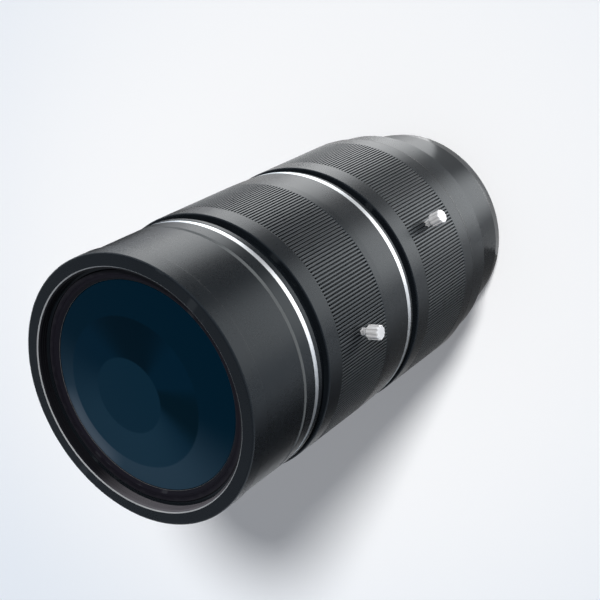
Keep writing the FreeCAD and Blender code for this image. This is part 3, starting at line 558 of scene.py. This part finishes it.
HEAD_R = 2.1
HEAD_LEN = 3.8
HEAD_BEVEL = 0.25
SHANK_R = 1.0
HEAD_LOW = RING_R + 2.0
FLUTES = 10
FLUTE_DEPTH = 0.30
FLUTE_STEPS = 16        # points round each flute and the tooth beside it
FLUTE_SHARE = 0.62      # of the room between two teeth's middles
SCREW_END = 34.9        # the shank's inner end
SCREW_PITCH = 0.4
SCREW_TURNS = 11.6
SCREW_RIDGE = 0.13

# The last number is the share of painted shade in the flutes and other hollows.
nickel = plain_metal("nickel plate", (0.88, 0.87, 0.88), 0.36, 0.52, 0.8)


def screw_section(radius, depth):
    """Points round the fluted head, in mm: wide teeth with round grooves between."""
    points = []
    for step in range(FLUTES * FLUTE_STEPS):
        angle = 2 * math.pi * step / (FLUTES * FLUTE_STEPS)
        across = abs((step % FLUTE_STEPS) / FLUTE_STEPS - 0.5) * 2
        groove = max(0.0, 1 - (across / FLUTE_SHARE) ** 2) ** 0.5
        reach = radius - depth * groove
        points.append((reach * math.cos(angle), reach * math.sin(angle)))
    return points


def lock_screw(name, azimuth, height):
    """Head and shank as one skin of sections from the shank's inner end to the head's face."""
    neck = HEAD_LOW + HEAD_BEVEL
    top = HEAD_LOW + HEAD_LEN
    # each section: distance from the axis of the lens, radius, share of the flutes' depth
    skin = [(SCREW_END, 0.0, 0), (SCREW_END, SHANK_R - 0.15, 0), (SCREW_END + 0.15, SHANK_R, 0),
            (HEAD_LOW - 0.05, SHANK_R, 0), (HEAD_LOW, SHANK_R + 0.1, 0),
            (HEAD_LOW, HEAD_R - HEAD_BEVEL, 0.5), (neck, HEAD_R, 1), (neck + 0.1, HEAD_R, 1),
            (top - HEAD_BEVEL - 0.1, HEAD_R, 1), (top - HEAD_BEVEL, HEAD_R, 1),
            (top, HEAD_R - HEAD_BEVEL, 0.5), (top, HEAD_R - HEAD_BEVEL - 0.15, 0.3), (top, 1.2, 0),
            (top, 0.0, 0)]
    verts = []
    faces = []
    count = FLUTES * FLUTE_STEPS
    for out, radius, share in skin:
        verts += [(out * MM, x * MM, y * MM) for x, y in screw_section(radius, FLUTE_DEPTH * share)]
    for row in range(len(skin) - 1):
        for step in range(count):
            after = (step + 1) % count
            faces.append((row * count + step, row * count + after,
                          (row + 1) * count + after, (row + 1) * count + step))
    mesh = bpy.data.meshes.new(name)
    mesh.from_pydata(verts, [], faces)
    close_up(mesh)
    mesh.transform(Matrix.Translation((0, 0, height * MM)) @ Matrix.Rotation(math.radians(azimuth), 4, "Z"))
    return place(name, mesh)


def lock_thread(name, azimuth, height):
    """The screw's thread, where it shows between the ring and the head."""
    start = Matrix.Translation((0, 0, height * MM)) @ Matrix.Rotation(math.radians(azimuth), 4, "Z")
    start = start @ Matrix.Translation(((SCREW_END + 0.3) * MM, 0, 0)) @ Matrix.Rotation(math.pi / 2, 4, "Y")
    return cut_thread(name, SHANK_R - 0.07, SCREW_PITCH, SCREW_TURNS, SCREW_RIDGE, 24, nickel, start)


LOCKS = (("focus", -90.0, 95.5), ("iris", -65.0, 48.5))     # azimuth and height of each
for ring, azimuth, height in LOCKS:
    body = ring + "_lock_screw"
    fit(lock_screw(ring + "_thumb_screw", azimuth, height), body, nickel, "nickel_steel", body)
    fit(lock_thread(ring + "_screw_thread", azimuth, height), body, nickel, "nickel_steel")
    coat_node(brass, ring + "_lock_shoe")


# Nose. The front shell, turned from aluminium and anodised black, with a thicker rim,
# a joint groove and a thin skirt behind. The bevel round the mouth was turned bare
# afterwards, and the groove's forward-facing wall has painted light in grey.

FRONT = 146.5
RIM_R = 37.7
RIM_LEN = 6.0
MOUTH_R = 33.95
MOUTH_EDGE = 0.28       # bare bevel round the mouth
MOUTH_LEAD = 0.85
FILTER_R = 33.1
FILTER_DEPTH = 3.0
SHELL_BORE = 32.55
SOLID_END = 122.5
SKIRT_END = 100.5
SKIRT_BORE = 35.65      # clear of the guide keys
GROOVE = 124.0
GROOVE_WIDTH = 1.1
GROOVE_DEPTH = 0.55
THREAD_ROOT = 0.35
COLLAR_LEN = 1.7        # black ring that clamps the bright one on the nose
PAINTED_LIGHT_AZIMUTH = math.radians(190)     # azimuth of the mouth's thread where painted light falls
FILTER_RIDGE = 0.08

nose = turn_profile("nose_front_shell", [
    (MOUTH_R + MOUTH_EDGE, FRONT), (RIM_R - 0.5, FRONT), (RIM_R - 0.15, FRONT - 0.15), (RIM_R, FRONT - 0.5),
    (RIM_R, FRONT - RIM_LEN + 0.3), (NOSE_R, FRONT - RIM_LEN), (NOSE_R, GROOVE),
    (NOSE_R - GROOVE_DEPTH, GROOVE - GROOVE_WIDTH / 3), (NOSE_R, GROOVE - GROOVE_WIDTH),
    (NOSE_R, NOSE_EDGE + 0.1), (NOSE_R - 0.1, NOSE_EDGE), (NECK_OUT_R, NOSE_EDGE), (NECK_OUT_R, SKIRT_END),
    (SKIRT_BORE, SKIRT_END), (SKIRT_BORE, SOLID_END), (SHELL_BORE, SOLID_END),
    (SHELL_BORE, FRONT - FILTER_DEPTH), (FILTER_R + THREAD_ROOT, FRONT - FILTER_DEPTH),
    (FILTER_R + THREAD_ROOT, FRONT - MOUTH_LEAD + THREAD_ROOT), (MOUTH_R, FRONT - MOUTH_EDGE)], 0.05)
fit(nose, "optics", anodised, "black_anodised", "nose_shell")

bare_edge = turned_finish("bare turned edge", (0.42, 0.425, 0.43), (0.5, 0.5, 0.5), 0.5, 0.42, 0.4, 0.22,
                          0.0008)
grey_painted_light = turned_finish("grey with painted light", (0.085, 0.09, 0.092), (0.1, 0.1, 0.1), 0.0, 0.4, 0.25, 0.22,
                            0.0008)
bare_band(nose, bare_edge, MOUTH_R - 0.02, MOUTH_R + MOUTH_EDGE + 0.02, FRONT - MOUTH_EDGE - 0.02,
          FRONT + 0.02)
# Painted light in grey on the groove's forward-facing wall.
bare_band(nose, grey_painted_light, NOSE_R - GROOVE_DEPTH, NOSE_R - 0.01, GROOVE - GROOVE_WIDTH,
          GROOVE - GROOVE_WIDTH / 3)

collar_top = NOSE_EDGE - TRIM_WIDTH
clamp_ring = turn_profile("nose_clamp_ring", [
    (TRIM_BORE, collar_top - COLLAR_LEN), (NOSE_R - 0.3, collar_top - COLLAR_LEN),
    (NOSE_R, collar_top - COLLAR_LEN + 0.3), (NOSE_R, collar_top), (TRIM_BORE, collar_top)], 0.06)
fit(clamp_ring, "optics", anodised, "black_anodised", "nose_trim_collar")

# Painted light: the mouth's thread is lighter on the side where its wall is lit.
thread_black, net, where, x, y, z = start_material("satin black thread")
painted_light_side = net.step(net.math("COSINE", net.math("ARCTAN2", y, x) - PAINTED_LIGHT_AZIMUTH), 0.62, 0.99)
end_material(net, {"Base Color": net.mix(painted_light_side, (0.0055, 0.0055, 0.0070), (0.095, 0.090, 0.100)),
                   "Roughness": 0.5, "Specular IOR Level": 0.1}, net.noise(where, 1500.0), 0.001 * MM)
filter_thread = cut_thread("filter_thread", FILTER_R + 0.30, THREAD_PITCH, 2.6, FILTER_RIDGE, WIDE_STEPS,
                           thread_black, Matrix.Translation((0, 0, (FRONT - FILTER_DEPTH + 0.25) * MM)))
fit(filter_thread, "optics", thread_black, "black_anodised")
bare_band(nose, thread_black, FILTER_R, MOUTH_R - 0.02, FRONT - FILTER_DEPTH + 0.05, FRONT - MOUTH_EDGE - 0.02)


# Front glass. A nearly flat element, ground and polished, with a blue-green coating and
# a ledge round its edge for the threaded ring. Its colour paints the other elements as
# zones, with painted shade and painted light by azimuth and a painted reflection of the
# floor near its edge.

GLASS_R = 31.0
GLASS_CLEAR = 29.4
GLASS_SPHERE = 600.0
GLASS_BEVEL = 0.2
GLASS_FACE = 142.7
GLASS_LAND = 140.9
GLASS_EDGE = 4.2
GLASS_REAR_CLEAR = 29.5
GLASS_REAR_SPHERE = 260.0
INNER_ZONE = 21.4       # edge of the second element, seen through the first
INNER_SHIFT = 4.1       # how far the zone stands off the axis, away from the lock screws
PUPIL_ZONE = 10.7       # edge of the iris opening, seen through the first
PUPIL_SHIFT = 6.1
SHIFT_AZIMUTH = math.radians(116)
ZONE_BLUR = 0.3
CAP_STEPS = 16          # points from a glass face's edge to its middle


def cap_points(clear, sphere, land, inwards):
    """Profile points of a spherical face from its edge to the axis, or back again."""
    points = []
    for step in range(CAP_STEPS + 1):
        radius = clear * (1 - step / CAP_STEPS)
        bulge = math.sqrt(sphere ** 2 - radius ** 2) - math.sqrt(sphere ** 2 - clear ** 2)
        points.append((radius, land + bulge))
    return points if inwards else points[::-1]


glass = turn_profile("front_element", [
    *cap_points(GLASS_REAR_CLEAR, GLASS_REAR_SPHERE, GLASS_LAND - GLASS_EDGE, False),
    (GLASS_R, GLASS_LAND - GLASS_EDGE), (GLASS_R, GLASS_LAND), (GLASS_CLEAR, GLASS_LAND),
    (GLASS_CLEAR, GLASS_FACE - GLASS_BEVEL),
    *cap_points(GLASS_CLEAR - GLASS_BEVEL, GLASS_SPHERE, GLASS_FACE, True)], 0)

coated, net, where, x, y, z = start_material("coated front glass")
radius = (x * x + y * y) ** 0.5 / MM
angle = net.math("ARCTAN2", y, x)


def painted_shading_sector(azimuth, narrow, wide):
    """A mask for painted light and shade: 1 facing an azimuth and 0 away from it, falling between two half
    angles.
    """
    facing = net.math("COSINE", angle - math.radians(azimuth))
    return net.step(facing, math.cos(math.radians(wide)), math.cos(math.radians(narrow)))


def outside(zone, shift):
    """0 inside a round zone that stands off the axis and 1 outside it."""
    across = x / MM - shift * math.cos(SHIFT_AZIMUTH)
    along = y / MM - shift * math.sin(SHIFT_AZIMUTH)
    return net.step((across ** 2 + along ** 2) ** 0.5, zone - ZONE_BLUR, zone + ZONE_BLUR)


# The zones' blues, with painted shade, painted light and a painted reflection of the floor.
PUPIL_BLUE = (0.0030, 0.0180, 0.0350)
MIDDLE_BLUE = (0.0003, 0.0105, 0.0240)
MIDDLE_PAINTED_SHADE = (0.0000, 0.0048, 0.0105)
MIDDLE_SHADE = (0.0000, 0.0060, 0.0120)
MIDDLE_PAINTED_LIGHT = (0.0075, 0.0270, 0.0480)
OUTER_DARK = (0.0000, 0.0085, 0.0190)
OUTER_PAINTED_LIGHT = (0.0190, 0.0410, 0.0650)
PAINTED_FLOOR_REFLECTION = (0.0620, 0.0850, 0.1150)
HAZE = (0.0, 0.008, 0.015)
# Painted shade and painted light on sectors of the zones, by azimuth.
middle_painted_shading = net.mix(painted_shading_sector(0, 8, 50), MIDDLE_BLUE, MIDDLE_PAINTED_SHADE)
middle_painted_shading = net.mix(painted_shading_sector(245, 8, 32), middle_painted_shading, MIDDLE_SHADE)
middle_painted_shading = net.mix(painted_shading_sector(150, 20, 88), middle_painted_shading, MIDDLE_PAINTED_LIGHT)
outer_painted_shading = net.mix(painted_shading_sector(155, 25, 100), OUTER_DARK, OUTER_PAINTED_LIGHT)
# Painted reflection of the pale floor near the outer zone's edge.
outer_painted_shading = net.mix(painted_shading_sector(122, 4, 30) * net.step(radius, 22.0, 29.0), outer_painted_shading, PAINTED_FLOOR_REFLECTION)
glass_painted_shading = net.mix(outside(INNER_ZONE, INNER_SHIFT), middle_painted_shading, outer_painted_shading)
glass_painted_shading = net.mix(outside(PUPIL_ZONE, PUPIL_SHIFT), PUPIL_BLUE, glass_painted_shading)
haze = net.noise(where, 30.0)
end_material(net, {
    "Base Color": net.mix(haze * 0.2, glass_painted_shading, HAZE),
    "Roughness": 0.07,
    "Specular IOR Level": 0.09,
    "Specular Tint": (0.05, 0.6, 1.0, 1.0),
})
fit(glass, "optics", coated, "coated_glass", "glass_front")

inner_black = turned_finish("matte black inside finish", (0.0068, 0.0060, 0.0092), (0.03, 0.03, 0.035), 0.0,
                            0.5, 0.1, 0.5, 0.002)
RING_START = GLASS_CLEAR + 0.05
RING_LIP = 0.12         # lower edge of the ring's bevel, with a painted highlight in grey
glass_ring = turn_profile("front_glass_ring", [
    (RING_START, GLASS_LAND), (GLASS_R, GLASS_LAND), (GLASS_R, FRONT - FILTER_DEPTH),
    (RING_START + 0.8, FRONT - FILTER_DEPTH), (RING_START, FRONT - FILTER_DEPTH - 0.8)], 0.06)
fit(glass_ring, "optics", inner_black, "black_inner", "front_retaining_ring")
# Painted highlight in grey on the ring's lip.
bare_band(glass_ring, grey_painted_light, RING_START, RING_START + RING_LIP,
          FRONT - FILTER_DEPTH - 0.8, FRONT - FILTER_DEPTH - 0.8 + RING_LIP)


# Inside. The lens barrel, the rear cell and their threaded rings are turned aluminium
# with a matte black finish. The other glass is coated, and the iris is blued steel.

inner_glass, net, where, x, y, z = start_material("coated inner glass")
bloom = net.noise(where, 40.0)
end_material(net, {
    "Base Color": net.mix(bloom, (0.004, 0.022, 0.036), (0.008, 0.030, 0.046)),
    "Roughness": 0.07 + bloom * 0.02,
    "Specular IOR Level": 0.5,
})
coat_node(inner_glass, "glass_second", "glass_third", "glass_fourth", "glass_fifth", "glass_sixth",
          "glass_rear")
coat_node(inner_black, "lens_barrel", "rear_cell", "second_retaining_ring", "third_retaining_ring",
          "fourth_retaining_ring", "rear_retaining_ring", "iris_housing", "iris_cover")
coat_node(blued_steel, "iris_cam_ring", *["iris_blade_%d" % (n + 1) for n in range(8)])


# Camera. It looks at the standing lens from above its front end, rolled so that the
# lens lies in the picture as it does in the photograph.

EYE = (0.1130, -0.2202, 0.3608)
RIGHT = Vector((-0.1576, -0.8155, -0.5569))
UP = Vector((0.9407, 0.0477, -0.3360))
camera_data = bpy.data.cameras.new("camera")
camera_data.sensor_width = 36.0
camera_data.lens = 75.9
camera_data.clip_start = 0.01
camera_data.clip_end = 20.0
camera = bpy.data.objects.new("camera", camera_data)
bpy.context.scene.collection.objects.link(camera)
right = RIGHT.normalized()
back_axis = right.cross(UP).normalized()
up = back_axis.cross(right)
camera.matrix_world = Matrix.Translation(EYE) @ Matrix((right, up, back_axis)).transposed().to_4x4()
bpy.context.scene.camera = camera
bpy.context.scene.view_settings.view_transform = "Standard"


# Studio. A pale floor that fades to blue grey, a soft sun for the shadow, and cards flat
# on the floor, which only reflections show: two glow for the streaks, three are dark.

PALE = (0.975, 0.982, 1.000)
FADED = (0.790, 0.840, 0.912)
FLOOR_HALF = 4.0
AWAY = (-0.454, 0.891)          # the camera's way over the floor
PALE_MIDDLE = (0.060, 0.005)    # middle of the pale part, away from the origin and across
PALE_REACH = (0.200, 0.155)     # its reach both ways
SELF_GLOW = 0.17                # share of the floor's look that isn't lit
floor_low = cad_box[0][2]
floor_mesh = bpy.data.meshes.new("floor")
floor_mesh.from_pydata([(-FLOOR_HALF, -FLOOR_HALF, floor_low), (FLOOR_HALF, -FLOOR_HALF, floor_low),
                        (FLOOR_HALF, FLOOR_HALF, floor_low), (-FLOOR_HALF, FLOOR_HALF, floor_low)],
                       [], [(0, 1, 2, 3)])
floor = place("floor", floor_mesh)


def seen_rays(net):
    """1 for what the camera sees, straight or mirrored, and 0 for light on its way."""
    rays = net.node("ShaderNodeLightPath", output="Is Camera Ray")
    return net.math("MINIMUM", rays + rays.other("Is Glossy Ray") + rays.other("Is Transmission Ray"), 1.0)


floor_finish, net, where, x, y, z = start_material("pale floor")
depth_away = y * AWAY[1] + x * AWAY[0] - PALE_MIDDLE[0]
across = x * AWAY[1] - y * AWAY[0] - PALE_MIDDLE[1]
reach = ((depth_away / PALE_REACH[0]) ** 2 + (across / PALE_REACH[1]) ** 2) ** 0.5
# Painted pool of light: the floor is palest in an oval near the lens and fades to blue grey further off.
shade = net.mix(net.step(reach, 0.40, 1.50), PALE, FADED)
matte = net.node("ShaderNodeBsdfDiffuse", None, {"Color": net.mix(SELF_GLOW, shade, (0.0, 0.0, 0.0))})
glow = net.node("ShaderNodeEmission", None, {"Color": shade, "Strength": seen_rays(net) * SELF_GLOW})
both = net.node("ShaderNodeAddShader", None, {0: matte, 1: glow})
net.node("ShaderNodeOutputMaterial", None, {"Surface": both})
floor_mesh.materials.append(floor_finish)

ZENITH = (0.29, 0.31, 0.35)
SKY_LIGHT = 0.42                # the sky's strength as a light, where 1 is how it looks
world = bpy.data.worlds.new("studio")
world.use_nodes = True
world.node_tree.nodes.clear()
net = Net(world.node_tree)
sky = net.node("ShaderNodeSeparateXYZ", None, {0: net.node("ShaderNodeTexCoord", output="Generated")})
sky_tone = net.mix(net.step(sky.other("Z"), 0.02, 0.6), FADED, ZENITH)
strength = seen_rays(net) * (1 - SKY_LIGHT) + SKY_LIGHT
back = net.node("ShaderNodeBackground", None, {"Color": sky_tone, "Strength": strength})
net.node("ShaderNodeOutputWorld", None, {"Surface": back})
bpy.context.scene.world = world

SUN_AZIMUTH = math.radians(-39)
SUN_RISE = math.radians(43)
sun_light = bpy.data.lights.new("soft sun", "SUN")
sun_light.energy = 3.72
sun_light.angle = math.radians(10)
sun_light.color = (1.0, 0.995, 0.98)
sun = bpy.data.objects.new("soft sun", sun_light)
sun_from = Vector((math.cos(SUN_RISE) * math.cos(SUN_AZIMUTH), math.cos(SUN_RISE) * math.sin(SUN_AZIMUTH),
                   math.sin(SUN_RISE)))
sun.rotation_euler = sun_from.to_track_quat("Z", "Y").to_euler()
sun.visible_glossy = False
bpy.context.scene.collection.objects.link(sun)


CARD_END = 0.260
CARD_FADE = 0.170               # from here a card fades out to its end
SIDE_FADE = 0.15                # the share of its half width from which it fades sideways
GLOW_START = 0.02               # its glow changes between these two distances
GLOW_END = 0.13


def lay_card(name, lift, start, streak, spread, near_glow, far_glow):
    """A card where the barrel's side at an azimuth mirrors it to the camera, wider far off."""
    side = Vector((math.cos(math.radians(streak)), math.sin(math.radians(streak))))
    foot = side * RING_R * MM
    view = (Vector(EYE[:2]) - foot).normalized()
    away = 2 * side.dot(view) * side - view
    corners = []
    for reach, edge in ((start, -1), (CARD_END, -1), (CARD_END, 1), (start, 1)):
        corners.append((reach, edge * spread * (RING_R * MM + 2 * reach), 0))
    mesh = bpy.data.meshes.new(name)
    mesh.from_pydata(corners, [], [(0, 1, 2, 3)])
    finish, net, where, x, y, z = start_material(name)
    share = net.math("ABSOLUTE", y) / ((x * 2 + RING_R * MM) * spread)
    glow = near_glow + net.step(x, GLOW_START, GLOW_END) * (far_glow - near_glow)
    light = net.node("ShaderNodeEmission", None, {"Strength": glow})
    clear = net.node("ShaderNodeBsdfTransparent")
    fade = net.math("MAXIMUM", net.step(share, SIDE_FADE, 1.0), net.step(x, CARD_FADE, CARD_END))
    soft = net.node("ShaderNodeMixShader", None, {0: fade, 1: light, 2: clear})
    net.node("ShaderNodeOutputMaterial", None, {"Surface": soft})
    mesh.materials.append(finish)

    card = place(name, mesh)
    card.location = (foot.x, foot.y, floor_low + lift * MM)
    card.rotation_euler = (0, 0, math.atan2(away.y, away.x))
    card.visible_camera = False
    card.visible_diffuse = False
    card.visible_shadow = False


# lift in mm, start in metres, azimuth of the streak, spread, and the glow near and far
lay_card("dark card for the far side", 0.5, -0.002, 14, 0.36, 0.95, 0.04)
lay_card("dark card for the shaded side", 0.6, -0.004, -112, 0.62, 0.18, 0.03)
lay_card("dark card between the streaks", 0.7, -0.004, -44, 0.70, 0.70, 0.18)
lay_card("card for the upper streak", 1.0, -0.002, -20, 0.31, 3.4, 3.3)
lay_card("card for the lower streak", 1.5, -0.004, -65, 0.42, 3.6, 1.85)
